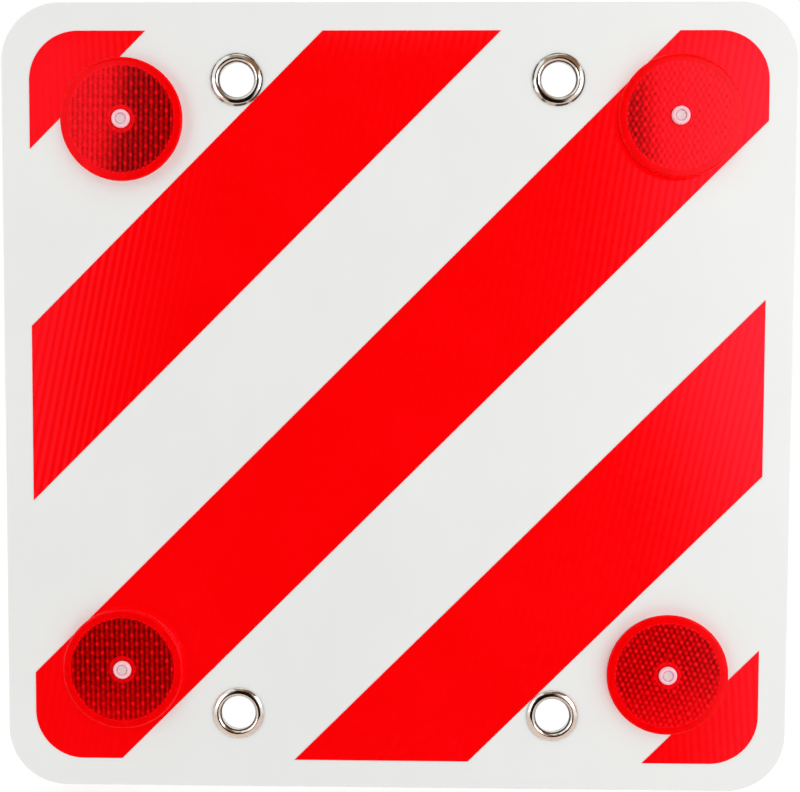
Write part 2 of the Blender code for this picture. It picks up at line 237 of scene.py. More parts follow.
def noise(tree, vector, size, detail=3.0, stretch=(1, 1, 1)):
    """Noise whose features are about size metres wide, drawn out along some axes."""
    mapping = tree.nodes.new("ShaderNodeMapping")
    mapping.inputs["Scale"].default_value = [axis / size for axis in stretch]
    tree.links.new(vector, mapping.inputs["Vector"])
    texture = tree.nodes.new("ShaderNodeTexNoise")
    texture.inputs["Scale"].default_value = 1.0
    texture.inputs["Detail"].default_value = detail
    tree.links.new(mapping.outputs["Vector"], texture.inputs["Vector"])
    return texture.outputs["Fac"]


def ramp(tree, value, stops):
    """A colour or a grey for each value, from (position, colour or number) stops."""
    new = tree.nodes.new("ShaderNodeValToRGB")
    elements = new.color_ramp.elements
    for position, colour in stops[1:-1]:
        elements.new(position)
    for element, (position, colour) in zip(elements, stops):
        element.position = position
        if isinstance(colour, (int, float)):
            colour = (colour, colour, colour)
        element.color = (*colour, 1.0)
    tree.links.new(value, new.inputs["Fac"])
    return new.outputs["Color"]


def math_node(tree, operation, *values):
    """The result of a math operation on numbers and other nodes' values."""
    new = tree.nodes.new("ShaderNodeMath")
    new.operation = operation
    for socket, value in zip(new.inputs, values):
        if isinstance(value, (int, float)):
            socket.default_value = value
        else:
            tree.links.new(value, socket)
    return new.outputs[0]


def span(tree, value, low, high, to_low=0.0, to_high=1.0, smooth=True):
    """A value mapped from one range to another and held at its ends."""
    new = tree.nodes.new("ShaderNodeMapRange")
    new.interpolation_type = "SMOOTHSTEP" if smooth else "LINEAR"
    for name, number in (("From Min", low), ("From Max", high), ("To Min", to_low), ("To Max", to_high)):
        new.inputs[name].default_value = number
    tree.links.new(value, new.inputs["Value"])
    return new.outputs["Result"]


def colour_mix(tree, share, first, second):
    """Goes from the first colour to the second as the share goes from 0 to 1."""
    new = tree.nodes.new("ShaderNodeMix")
    new.data_type = "RGBA"
    tree.links.new(share, new.inputs["Factor"])
    for socket, colour in ((new.inputs["A"], first), (new.inputs["B"], second)):
        if isinstance(colour, tuple):
            socket.default_value = colour
        else:
            tree.links.new(colour, socket)
    return new.outputs["Result"]


def bump(tree, shader, height, distance, strength=1.0, under=None):
    """Adds a height in metres to the shader's normal and returns the normal, for further bumps."""
    new = tree.nodes.new("ShaderNodeBump")
    new.inputs["Strength"].default_value = strength
    new.inputs["Distance"].default_value = distance
    tree.links.new(height, new.inputs["Height"])
    if under:
        tree.links.new(under, new.inputs["Normal"])
    tree.links.new(new.outputs["Normal"], shader.inputs["Normal"])
    return new.outputs["Normal"]


# White PVC sheet, with the faint skin of a calendered board
def plate_material():
    new, tree, shader, place = material("plate_pvc", Roughness=0.40, IOR=1.5)
    cloud = noise(tree, place, 0.09, 4.0)
    tree.links.new(
        ramp(tree, cloud, [(0.30, (0.784, 0.802, 0.791)), (0.70, (0.802, 0.820, 0.808))]),
        shader.inputs["Base Color"],
    )
    handling = noise(tree, place, 0.012, 5.0, (1, 0.25, 1))
    tree.links.new(span(tree, handling, 0.35, 0.70, 0.36, 0.48), shader.inputs["Roughness"])
    skin = bump(tree, shader, noise(tree, place, 0.0016, 2.0), 0.00003, 0.5)
    bump(tree, shader, noise(tree, place, 0.030, 2.0), 0.00025, 0.35, skin)
    return new


# Glossy red film with fine ribs, which lean to the right at the top by so many degrees
def film_material(name, lean, height):
    new, tree, shader, place = material(name, Roughness=0.12, IOR=1.5, Specular_IOR_Level=0.65)
    shader.inputs["Specular Tint"].default_value = (1.0, 0.55, 1.0, 1.0)
    cloud = noise(tree, place, 0.05, 3.0)
    tree.links.new(
        ramp(tree, cloud, [(0.30, (0.975, 0.0001, 0.0005)), (0.70, (1.0, 0.0003, 0.0014))]),
        shader.inputs["Base Color"],
    )
    grain = noise(tree, place, 0.004, 3.0)
    tree.links.new(span(tree, grain, 0.3, 0.7, 0.10, 0.15), shader.inputs["Roughness"])
    ribs = tree.nodes.new("ShaderNodeTexWave")
    ribs.bands_direction = "X"
    ribs.inputs["Scale"].default_value = WAVE_LENGTH / RIB_PITCH
    ribs.inputs["Distortion"].default_value = 1.2
    ribs.inputs["Detail"].default_value = 1.0
    ribs.inputs["Detail Scale"].default_value = 0.6
    stretched = tree.nodes.new("ShaderNodeMapping")
    stretched.vector_type = "TEXTURE"
    stretched.inputs["Rotation"].default_value = (0.0, 0.0, math.radians(-lean))
    stretched.inputs["Scale"].default_value = (1.0, RIB_STRETCH, 1.0)
    tree.links.new(place, stretched.inputs["Vector"])
    tree.links.new(stretched.outputs["Vector"], ribs.inputs["Vector"])
    ribbed = bump(tree, shader, ribs.outputs["Fac"], height)
    bump(tree, shader, noise(tree, place, 0.002, 2.0), 0.00001, 0.5, ribbed)
    return new


# Red acrylic: clear in the prisms, and nearly opaque where rim and hub are solid
def lens_material(name, clearness, low, high, gloss=0.5, rough=0.03):
    new, tree, shader, place = material(
        name, IOR=1.49, Transmission_Weight=clearness, Specular_IOR_Level=gloss
    )
    shader.inputs["Specular Tint"].default_value = (1.0, 0.7, 1.0, 1.0)
    streaks = noise(tree, place, 0.006, 3.0)
    tree.links.new(ramp(tree, streaks, [(0.3, low), (0.7, high)]), shader.inputs["Base Color"])
    scuffs = span(tree, noise(tree, place, 0.010, 3.0), 0.35, 0.70, rough, rough * 2)
    tree.links.new(scuffs, shader.inputs["Roughness"])
    return new


def along(tree, place, angle):
    """The distance of a point along a direction in the plane of the lens."""
    angle = math.radians(angle)
    new = tree.nodes.new("ShaderNodeVectorMath")
    new.operation = "DOT_PRODUCT"
    tree.links.new(place, new.inputs[0])
    new.inputs[1].default_value = (math.cos(angle), math.sin(angle), 0)
    return new.outputs["Value"]


def axis_distance(tree, place):
    """The distance of a point from the piece's own Z axis."""
    flat = tree.nodes.new("ShaderNodeVectorMath")
    flat.operation = "MULTIPLY"
    tree.links.new(place, flat.inputs[0])
    flat.inputs[1].default_value = (1, 1, 0)
    radius = tree.nodes.new("ShaderNodeVectorMath")
    radius.operation = "LENGTH"
    tree.links.new(flat.outputs["Vector"], radius.inputs[0])
    return radius.outputs["Value"]


def mixed(tree, share, first, second):
    """Goes from the first value to the second as the share goes from 0 to 1."""
    step = math_node(tree, "SUBTRACT", second, first)
    return math_node(tree, "MULTIPLY_ADD", step, share, first)


# Front of the lens over the prisms, where their rows show as dots and lines. Their reflection is painted
# into the colour as light and shade, different on each lens, with a painted shadow round the rivet's head.
def painted_lens_front_material(corner):
    look = LENS_LOOKS[corner]
    new, tree, shader, place = material(
        "lens_front_" + corner, Roughness=0.03, IOR=1.49, Transmission_Weight=0.06
    )
    shader.inputs["Specular Tint"].default_value = (1.0, 0.75, 1.0, 1.0)
    row = PRISM_PITCH * math.sqrt(3) / 2
    waves = [(angle, row, share) for angle, share in zip(ROW_ANGLES, look["rows"])]
    waves += [(angle, row * math.sqrt(3), share) for angle, share in zip(CROSS_ANGLES, look["crosses"])]
    total = 0.0
    for angle, spacing, share in waves:
        turns = math_node(tree, "MULTIPLY", along(tree, place, angle), math.tau / spacing)
        total = math_node(tree, "MULTIPLY_ADD", math_node(tree, "COSINE", turns), share, total)
    # Painted light and shade: each lens lighter towards one side and darker towards the other
    facing = along(tree, place, look["direction"] - REFLECTOR_TURNS[corner])
    start, base = look["start"], look["base"]
    shade = span(tree, facing, start, start + look["width"], base, base + look["rise"])
    headroom = math_node(tree, "SUBTRACT", LENS_HEADROOM, shade)
    headroom = math_node(tree, "MAXIMUM", headroom, look["floor"])
    contrast = math_node(tree, "MULTIPLY", headroom, look["contrast"])
    uneven = span(tree, noise(tree, place, 0.005, 3.0), 0.3, 0.7, 0.55, 1.45, smooth=False)
    contrast = math_node(tree, "MULTIPLY", contrast, uneven)
    shade = math_node(tree, "MULTIPLY_ADD", total, contrast, shade)
    from_axis = axis_distance(tree, place)
    hub = span(tree, from_axis, LENS_HUB_RADIUS - 0.0003, LENS_HUB_RADIUS + 0.0007, 1.0, 0.0)
    # Painted shadow of the rivet's head, in a ring round it
    head_shadow = span(tree, from_axis, RIVET_HEAD_RADIUS + 0.0002, RIVET_HEAD_RADIUS + 0.0010, -0.14, 0.03)
    # Painted shade of the hub, a level for each lens, with random darker spots
    hub_shade = span(tree, noise(tree, place, 0.0024, 1.0), 0.30, 0.44, look["hub"] - 0.22, look["hub"])
    shade = mixed(tree, hub, shade, math_node(tree, "ADD", head_shadow, hub_shade))
    edge = math_node(tree, "MULTIPLY_ADD", total, -LENS_FIELD_WAVINESS, from_axis)
    soft = LENS_FIELD_SOFTNESS
    rim = span(tree, edge, LENS_FIELD_RADIUS - soft, LENS_FIELD_RADIUS + soft)
    shade = mixed(tree, rim, shade, LENS_RIM_SHADE)
    blotch = span(tree, noise(tree, place, 0.0030, 3.0), 0.25, 0.75, -0.13, 0.13, smooth=False)
    speck = span(tree, noise(tree, place, 0.0010, 2.0), 0.25, 0.75, -0.11, 0.11, smooth=False)
    shade = math_node(tree, "ADD", shade, math_node(tree, "ADD", blotch, speck))
    shade = math_node(tree, "DIVIDE", shade, LENS_SHADE_TOP)
    tree.links.new(ramp(tree, shade, LENS_SHADES), shader.inputs["Base Color"])
    rows = bump(tree, shader, total, 0.000008)
    bump(tree, shader, noise(tree, place, 0.0012, 2.0), 0.00001, 0.6, rows)
    return new


# White moulded plastic of the reflector's back plate
def cover_material():
    new, tree, shader, place = material("reflector_cover", Roughness=0.45, IOR=1.5)
    cloud = noise(tree, place, 0.010, 4.0)
    tree.links.new(
        ramp(tree, cloud, [(0.3, (0.88, 0.88, 0.87)), (0.7, (0.92, 0.92, 0.91))]),
        shader.inputs["Base Color"],
    )
    bump(tree, shader, noise(tree, place, 0.0007, 2.0), 0.00002, 0.6)
    return new


# White nylon. Where it stands in the red lens, its colour lies between low and high: a pink tint that is
# painted red light from the lens
def nylon_material(name, low, high):
    new, tree, shader, place = material(name, Roughness=0.35, IOR=1.53, Subsurface_Weight=0.12)
    shader.inputs["Subsurface Radius"].default_value = (0.0012, 0.0009, 0.0009)
    shader.inputs["Subsurface Scale"].default_value = 1.0
    cloud = noise(tree, place, 0.003, 3.0)
    parts = tree.nodes.new("ShaderNodeSeparateXYZ")
    tree.links.new(place, parts.inputs["Vector"])
    in_lens = span(tree, parts.outputs["Z"], FILM_FRONT, LENS_BACK)
    plain = ramp(tree, cloud, [(0.3, (0.76, 0.76, 0.74)), (0.7, (0.81, 0.81, 0.79))])
    painted_lens_light = ramp(tree, cloud, [(0.3, low), (0.7, high)])
    tree.links.new(colour_mix(tree, in_lens, plain, painted_lens_light), shader.inputs["Base Color"])
    tree.links.new(span(tree, cloud, 0.3, 0.7, 0.30, 0.42), shader.inputs["Roughness"])
    bump(tree, shader, noise(tree, place, 0.0005, 2.0), 0.00001, 0.5)
    return new


# Nickel plate, dull, with painted shade in the throat and a painted shadow along the rim of the flange
def nickel_material(name, colour, low, high, rim_shadow):
    new, tree, shader, place = material(name, Metallic=1.0)
    tarnish = noise(tree, place, 0.0035, 4.0)
    darker = tuple(channel * 0.88 for channel in colour)
    plated = ramp(tree, tarnish, [(0.3, darker), (0.65, colour)])
    uneven = span(tree, noise(tree, place, 0.004, 2.0), 0.3, 0.7, -0.00006, 0.00006)
    from_axis = math_node(tree, "ADD", axis_distance(tree, place), uneven)
    # Painted shade in the throat
    wall = span(tree, from_axis, *THROAT_SHADE[:2], 0.10, 1.0)
    throat = math_node(tree, "MULTIPLY", wall, span(tree, from_axis, *THROAT_SHADE[2:], 1.0, 0.0))
    # Painted shadow along the rim of the flange, broken into arcs
    arcs = span(tree, noise(tree, place, 0.009, 1.0), 0.40, 0.52, 0.3 * rim_shadow, rim_shadow)
    rim = math_node(tree, "MULTIPLY", span(tree, from_axis, *RIM_SHADOW), arcs)
    shaded = math_node(tree, "MAXIMUM", throat, rim)
    tree.links.new(colour_mix(tree, shaded, plated, PAINTED_SHADE_COLOUR), shader.inputs["Base Color"])
    brushed = noise(tree, place, 0.0009, 4.0)
    tree.links.new(span(tree, brushed, 0.3, 0.7, low, high), shader.inputs["Roughness"])
    bump(tree, shader, noise(tree, place, 0.0022, 2.0), 0.000006, 0.5)
    return new


def arc(centre, radii, start, end, steps):
    """Points along an ellipse, from one angle in degrees to another."""
    points = []
    for step in range(steps + 1):
        angle = math.radians(start + (end - start) * step / steps)
        points.append((centre[0] + radii[0] * math.cos(angle), centre[1] + radii[1] * math.sin(angle)))
    return points


def rounded_square(half_side, radius, inset=0.0):
    """The outline of a square with round corners, anticlockwise, drawn in by inset."""
    centre = half_side - radius
    corners = [(centre, centre, 0), (-centre, centre, 90), (-centre, -centre, 180), (centre, -centre, 270)]
    outline = []
    for x, y, start in corners:
        outline += arc((x, y), (radius - inset, radius - inset), start, start + 90, CORNER_STEPS)
    return outline


def across_bands(point):
    """How far a point lies across the bands, from the panel's centre."""
    return (point[0] - point[1]) / math.sqrt(2)


def cut_outline(outline, limit, keep_above):
    """Cuts a convex outline along a band's edge and keeps one side of it."""
    side = 1 if keep_above else -1
    kept = []
    for here, after in zip(outline, outline[1:] + outline[:1]):
        near = side * (across_bands(here) - limit)
        far = side * (across_bands(after) - limit)
        if near >= 0:
            kept.append(here)
        if near * far < 0:
            share = near / (near - far)
            kept.append(tuple(a + (b - a) * share for a, b in zip(here, after)))
    return kept


def sheet(outlines, heights, holes=(), hole_radius=0.0):
    """A flat piece. Each outline goes with a height, from the back to the front, and holes go through."""
    shape = bmesh.new()
    rings = [[shape.verts.new((x, y, z)) for x, y in line] for line, z in zip(outlines, heights)]
    for lower, upper in zip(rings, rings[1:]):
        for index in range(len(lower)):
            after = (index + 1) % len(lower)
            shape.faces.new((lower[index], lower[after], upper[after], upper[index]))
    circles = []
    for centre in holes:
        circle = arc(centre, (hole_radius, hole_radius), 0, 360, HOLE_STEPS)[:-1]
        circles.append([[shape.verts.new((x, y, z)) for x, y in circle] for z in (heights[0], heights[-1])])
    for lower, upper in circles:
        for index in range(HOLE_STEPS):
            after = (index + 1) % HOLE_STEPS
            shape.faces.new((lower[after], lower[index], upper[index], upper[after]))
    for level, ring in ((0, rings[0]), (1, rings[-1])):
        loops = [ring] + [circle[level] for circle in circles]
        corners = [vert for loop in loops for vert in loop]
        flat = [vert.co.xy for vert in corners]
        edges = []
        first = 0
        for loop in loops:
            count = len(loop)
            edges += [(first + index, first + (index + 1) % count) for index in range(count)]
            first += count
        triangles = delaunay_2d_cdt(flat, edges, [], 1, 1e-9)[2]
        for triangle in triangles:
            middle = sum((flat[index] for index in triangle), Vector((0, 0))) / 3
            if any((middle - Vector(centre)).length < hole_radius for centre in holes):
                continue
            shape.faces.new([corners[index] for index in (triangle if level else triangle[::-1])])
    bmesh.ops.recalc_face_normals(shape, faces=shape.faces)
    return shape


def turned(profile, segments):
    """A solid turned about Z from a closed profile of (radius, height) points."""
    shape = bmesh.new()
    verts = [shape.verts.new((radius, 0, height)) for radius, height in profile]
    edges = [shape.edges.new(pair) for pair in zip(verts, verts[1:] + verts[:1])]
    bmesh.ops.spin(
        shape, geom=verts + edges, cent=(0, 0, 0), axis=(0, 0, 1), angle=math.tau, steps=segments,
        use_merge=True,
    )
    bmesh.ops.remove_doubles(shape, verts=shape.verts, dist=1e-7)
    bmesh.ops.recalc_face_normals(shape, faces=shape.faces)
    return shape


def make_mesh(name, shape, finish, sharp=32.0):
    """A mesh with one finish, smooth but for edges sharper than an angle in degrees."""
    mesh = bpy.data.meshes.new(name)
    shape.to_mesh(mesh)
    shape.free()
    mesh.materials.append(finish)
    mesh.shade_smooth()
    mesh.set_sharp_from_angle(angle=math.radians(sharp))
    return mesh


def place_piece(name, mesh, replaced, at=(0.0, 0.0), turn=0.0):
    """Puts a piece on the panel in place of a CAD node, and says so to the frame."""
    piece = bpy.data.objects.new(name, mesh)
    bpy.context.collection.objects.link(piece)
    turned_by = Matrix.Rotation(math.radians(turn), 4, "Z")
    piece.matrix_world = TO_WORLD @ Matrix.Translation((*at, 0)) @ turned_by
    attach(piece, "root")
    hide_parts(replaced)
    return piece


def centre_of(node_name):
    """A node's centre in the panel's X and Y."""
    low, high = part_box(node_name)
    return ((low.x + high.x) / 2, (low.z + high.z) / 2)


def make_plate_and_films():
    eyelets = [centre_of("eyelet_" + corner) for corner in CORNERS]
    full = rounded_square(PLATE_HALF_SIDE, PLATE_CORNER_RADIUS)
    eased = rounded_square(PLATE_HALF_SIDE, PLATE_CORNER_RADIUS, EDGE_BREAK)
    heights = (0.0, EDGE_BREAK, PLATE_THICKNESS - EDGE_BREAK, PLATE_THICKNESS)
    shape = sheet((eased, full, full, eased), heights, eyelets, PLATE_HOLE_RADIUS)
    place_piece("plate_sheet", make_mesh("plate_sheet", shape, plate_material()), "plate")

    field = rounded_square(FIELD_HALF_SIDE, FIELD_CORNER_RADIUS)
    for (name, (lean, height)), step in zip(RIBS.items(), (-4, -2, 0, 2, 4)):
        red = film_material(name.replace("red", "gloss"), lean, height)
        outline = cut_outline(field, BAND_WIDTH * (step - 0.5), keep_above=True)
        outline = cut_outline(outline, BAND_WIDTH * (step + 0.5), keep_above=False)
        shape = sheet((outline, outline), (FILM_BACK, FILM_FRONT))
        place_piece(name.replace("red", "film"), make_mesh(name, shape, red), name)


def crowned(centre, radii, start, end, steps, fullness):
    """An arc whose shoulders are fuller than an ellipse's where fullness is over 2, and leaner below 2."""
    points = []
    for step in range(steps + 1):
        angle = math.radians(start + (end - start) * step / steps)
        x, y = math.cos(angle), math.sin(angle)
        share = (abs(x) ** fullness + abs(y) ** fullness) ** (-1 / fullness)
        points.append((centre[0] + radii[0] * x * share, centre[1] + radii[1] * y * share))
    return points


def eyelet_profile():
    """The rolled sheet of an eyelet: flange, mouth and barrel, and the tail that is rolled over."""
    flange_width = EYELET_FLANGE_RADIUS - EYELET_CROWN_RADIUS
    throat_width = EYELET_CROWN_RADIUS - EYELET_HOLE_RADIUS
    tail_middle = EYELET_HOLE_RADIUS + (EYELET_TAIL_WIDTH + EYELET_FLARE) / 2

    def side(thickness, steps):
        """The line of the sheet, this far inside its shown side."""
        flange = (flange_width - thickness, EYELET_CROWN - EYELET_FOOT - thickness)
        mouth = (throat_width - thickness, EYELET_CROWN - EYELET_THROAT - thickness)
        roll = ((EYELET_TAIL_WIDTH - EYELET_FLARE) / 2 - thickness, EYELET_TAIL_DEPTH - thickness)
        line = crowned((EYELET_CROWN_RADIUS, EYELET_FOOT), flange, 0, 90, steps, FLANGE_FULLNESS)
        line += crowned((EYELET_CROWN_RADIUS, EYELET_THROAT), mouth, 90, 180, steps, MOUTH_FULLNESS)[1:]
        line += arc((tail_middle, EYELET_TAIL), roll, 180, 360, steps)
        return line

    return side(0, 24) + side(EYELET_SHEET, 12)[::-1]


def make_eyelets():
    rings = {}
    # The top eyelets' rims get a darker painted shadow than the bottom ones'
    for side, rim_shadow in (("top", 0.95), ("bottom", 0.15)):
        nickel = nickel_material("nickel_bright_" + side, (0.90, 0.86, 0.80), 0.05, 0.12, rim_shadow)
        rings[side] = make_mesh("eyelet_ring_" + side, turned(eyelet_profile(), EYELET_SEGMENTS), nickel)
    dull = nickel_material("nickel_washer", (0.78, 0.76, 0.72), 0.16, 0.28, 0.5)
    seat = EYELET_HOLE_RADIUS + EYELET_TAIL_WIDTH + WASHER_PLAY
    washer_profile = [
        (PLATE_HOLE_RADIUS, WASHER_FRONT),
        (WASHER_RADIUS - WASHER_EDGE, WASHER_FRONT),
        (WASHER_RADIUS, WASHER_FRONT - WASHER_EDGE),
        (WASHER_RADIUS, WASHER_BACK + WASHER_EDGE),
        (WASHER_RADIUS - WASHER_EDGE, WASHER_BACK),
        (seat + WASHER_STEP + WASHER_EDGE, WASHER_BACK),
        (seat + WASHER_STEP, WASHER_BACK + WASHER_EDGE / 2),
        (seat, WASHER_SEAT),
        (PLATE_HOLE_RADIUS, WASHER_SEAT),
    ]
    washer = make_mesh("washer_ring", turned(washer_profile, EYELET_SEGMENTS), dull)
    for corner in CORNERS:
        place = centre_of("eyelet_" + corner)
        ring = rings[corner.split("_")[0]]
        place_piece("eyelet_ring_" + corner, ring, "eyelet_" + corner, place)
        place_piece("washer_ring_" + corner, washer, "eyelet_washer_" + corner, place)


def lens_profile():
    """The lens: a disc with a rounded, tapering wall, and a pocket round the hub for the prisms."""
    round_over = arc((LENS_FLAT_RADIUS, LENS_FRONT - LENS_ROUND_DEPTH),
                     (LENS_RADIUS - LENS_FLAT_RADIUS, LENS_ROUND_DEPTH), 90, 0, 10)
    return [
        (RIVET_HOLE_RADIUS, LENS_FRONT),
        (LENS_HUB_RADIUS, LENS_FRONT),
        (LENS_POCKET_RADIUS, LENS_FRONT),
        *round_over,
        (LENS_BASE_RADIUS, LENS_BACK),
        (LENS_POCKET_RADIUS, LENS_BACK),
        (LENS_POCKET_RADIUS, PRISM_FLOOR),
        (LENS_HUB_RADIUS, PRISM_FLOOR),
        (LENS_HUB_RADIUS, LENS_BACK),
        (RIVET_HOLE_RADIUS, LENS_BACK),
    ]


def prism_field():
    """The corner-cube prisms at their real pitch, sunk a little into the floor of the lens's pocket.

    The cubes' corners lie on a triangular lattice at three depths in turn. The tip of each is a small
    flat, which lets light through as a bright dot.
    """
    side = PRISM_PITCH / math.sqrt(3)
    step = side / math.sqrt(2)
    right = Vector((side, 0))
    slant = Vector((side / 2, side * math.sqrt(3) / 2))
    reach = int(LENS_RADIUS / slant.y) + 1
    nearest = LENS_HUB_RADIUS + PRISM_CLEARANCE + side
    farthest = LENS_POCKET_RADIUS - PRISM_CLEARANCE - side
    around = [(1, 0), (0, 1), (-1, 1), (-1, 0), (0, -1), (1, -1)]
    shape = bmesh.new()
    lattice = {}

    def place(column, row):
        flat = right * column + slant * row
        level = (column - row) % 3
        return Vector((flat.x, flat.y, PRISM_FLOOR - step * (2 - level)))

    def point(column, row):
        if (column, row) not in lattice:
            lattice[column, row] = shape.verts.new(place(column, row))
        return lattice[column, row]

    for column in range(-reach, reach + 1):
        for row in range(-reach, reach + 1):
            tip = place(column, row)
            if (column - row) % 3 or not nearest <= tip.xy.length <= farthest:
                continue
            rim = [point(column + c, row + r) for c, r in around]
            flat = [shape.verts.new(tip.lerp(rim[low].co, PRISM_TIP_FLAT)) for low in (0, 2, 4)]
            for index, low in enumerate((0, 2, 4)):
                after = (index + 1) % 3
                shape.faces.new((flat[index], rim[low], rim[low + 1], rim[(low + 2) % 6], flat[after]))
            shape.faces.new(flat[::-1])
    sunk = bmesh.ops.extrude_face_region(shape, geom=list(shape.faces))
    for item in sunk["geom"]:
        if isinstance(item, bmesh.types.BMVert):
            item.co.z = (PRISM_FLOOR + LENS_FRONT) / 2
    bmesh.ops.recalc_face_normals(shape, faces=shape.faces)
    bmesh.ops.rotate(shape, verts=shape.verts, matrix=Matrix.Rotation(math.radians(30), 3, "Z"))
    return shape


def joined(base, extra, name, prisms, front, solid, outside):
    """One closed mesh from two that overlap, with finishes for prisms, front, solid parts and wall."""
    pieces = []
    for label, shape in (("base", base), ("extra", extra)):
        mesh = bpy.data.meshes.new(label)
        shape.to_mesh(mesh)
        shape.free()
        pieces.append(bpy.data.objects.new(label, mesh))
        bpy.context.collection.objects.link(pieces[-1])
    union = pieces[0].modifiers.new("union", "BOOLEAN")
    union.operation = "UNION"
    union.solver = "EXACT"
    union.object = pieces[1]
    evaluated = pieces[0].evaluated_get(bpy.context.evaluated_depsgraph_get())
    mesh = bpy.data.meshes.new_from_object(evaluated)
    mesh.name = name
    # The union leaves a few triangles of no width
    welded = bmesh.new()
    welded.from_mesh(mesh)
    bmesh.ops.remove_doubles(welded, verts=welded.verts, dist=1e-6)
    welded.to_mesh(mesh)
    welded.free()
    for piece in pieces:
        bpy.data.objects.remove(piece, do_unlink=True)
    mesh.materials.clear()
    for finish in (prisms, front, solid, outside):
        mesh.materials.append(finish)
    edge = 0.0001
    for face in mesh.polygons:
        from_axis = face.center.xy.length
        if face.center.z > LENS_FRONT - edge and from_axis < LENS_POCKET_RADIUS:
            face.material_index = 1
        elif from_axis > LENS_FLAT_RADIUS:
            face.material_index = 3
        elif not LENS_HUB_RADIUS + edge < from_axis < LENS_POCKET_RADIUS - edge:
            face.material_index = 2
    mesh.shade_smooth()
    mesh.set_sharp_from_angle(angle=math.radians(28))
    return mesh


def sleeve_profile():
    """The rivet's head with its recess, the shank, and the legs that spread behind the plate."""
    edge = (RIVET_HEAD_RADIUS - RIVET_RECESS_RADIUS) * 0.6
    head = RIVET_FRONT - RIVET_SEAT
    soft = RIVET_RECESS_SOFT
    dome = arc((RIVET_HEAD_RADIUS - edge, RIVET_SEAT), (edge, head), 90, 0, 12)
    return [
        (RIVET_BORE_RADIUS, RIVET_FRONT - RIVET_RECESS_DEPTH),
        (RIVET_RECESS_RADIUS - 0.0001, RIVET_FRONT - RIVET_RECESS_DEPTH),
        (RIVET_RECESS_RADIUS, RIVET_FRONT - RIVET_RECESS_DEPTH + 0.0001),
        *arc((RIVET_RECESS_RADIUS + soft, RIVET_FRONT - soft), (soft, soft), 180, 90, 4),
        *dome,
        (RIVET_SHANK_RADIUS, RIVET_SEAT),
        (RIVET_SHANK_RADIUS, -0.0003),
        *arc((RIVET_SHANK_RADIUS, -0.00235), (0.0018, 0.00205), 90, -20, 8)[1:],
        *arc((0.0019, -0.0047), (0.0014, 0.0015), 0, -90, 5),
        (RIVET_BORE_RADIUS, RIVET_TAIL),
    ]


def pin_profile():
    """The pin pushed into the rivet: a dished head and a shank with a bevelled end."""
    edge = PIN_HEAD_EDGE
    return [
        (0, PIN_FRONT - 0.00030),
        (0.0008, PIN_FRONT - 0.00026),
        (0.0018, PIN_FRONT - 0.00010),
        *arc((PIN_HEAD_RADIUS - edge, PIN_FRONT - edge), (edge, edge), 90, 0, 4),
        (PIN_HEAD_RADIUS, PIN_HEAD_BACK),
        (PIN_SHANK_RADIUS, PIN_HEAD_BACK),
        (PIN_SHANK_RADIUS, -0.0048),
        (0.0011, -0.0052),
        (0, -0.0055),
    ]


def make_reflectors():
    prisms = lens_material("lens_prisms_red", 1.0, (0.985, 0.010, 0.022), (1.0, 0.020, 0.040))
    reds = ((0.86, 0.0001, 0.0003), (1.0, 0.0003, 0.0010))
    solid = lens_material("lens_solid_red", 0.08, *reds, gloss=0.55)
    outside = lens_material("lens_edge_red", 0.08, *reds, gloss=0.08, rough=0.15)
    disc = turned(lens_profile(), LENS_SEGMENTS)
    lens = joined(disc, prism_field(), "lens", prisms, solid, solid, outside)
    rim = 0.0003
    cover_profile = [
        (RIVET_HOLE_RADIUS, COVER_FRONT),
        (COVER_RADIUS - rim, COVER_FRONT),
        (COVER_RADIUS, COVER_FRONT - rim),
        (COVER_RADIUS, COVER_BACK + rim),
        (COVER_RADIUS - rim, COVER_BACK),
        (RIVET_HOLE_RADIUS, COVER_BACK),
    ]
    cover = make_mesh("cover", turned(cover_profile, LENS_SEGMENTS), cover_material(), 50)
    # Painted red light from the lens: the sleeve's head pink, and the pin's head a darker, greyer pink
    white = nylon_material("rivet_white", (0.93, 0.50, 0.57), (0.97, 0.57, 0.64))
    grey = nylon_material("rivet_pin_white", (0.72, 0.54, 0.56), (0.78, 0.60, 0.62))
    sleeve = make_mesh("sleeve", turned(sleeve_profile(), RIVET_SEGMENTS), white)
    pin = make_mesh("pin", turned(pin_profile(), RIVET_SEGMENTS), grey)
    for corner in CORNERS:
        place = centre_of("reflector_lens_" + corner)
        turn = REFLECTOR_TURNS[corner]
        own_lens = lens.copy()
        own_lens.materials[1] = painted_lens_front_material(corner)
        for name, mesh, slot, replaced in (
            ("lens_", own_lens, "lens_red", "reflector_lens_"),
            ("cover_", cover, "reflector_back_white", "reflector_back_"),
            ("sleeve_", sleeve, "rivet_nylon", "rivet_sleeve_"),
            ("pin_", pin, "rivet_pin_nylon", "rivet_pin_"),
        ):
            piece = place_piece(name + corner, mesh, replaced + corner, place, turn)
            # The lamps' light passes through the clear lens
            piece.visible_shadow = mesh is not own_lens


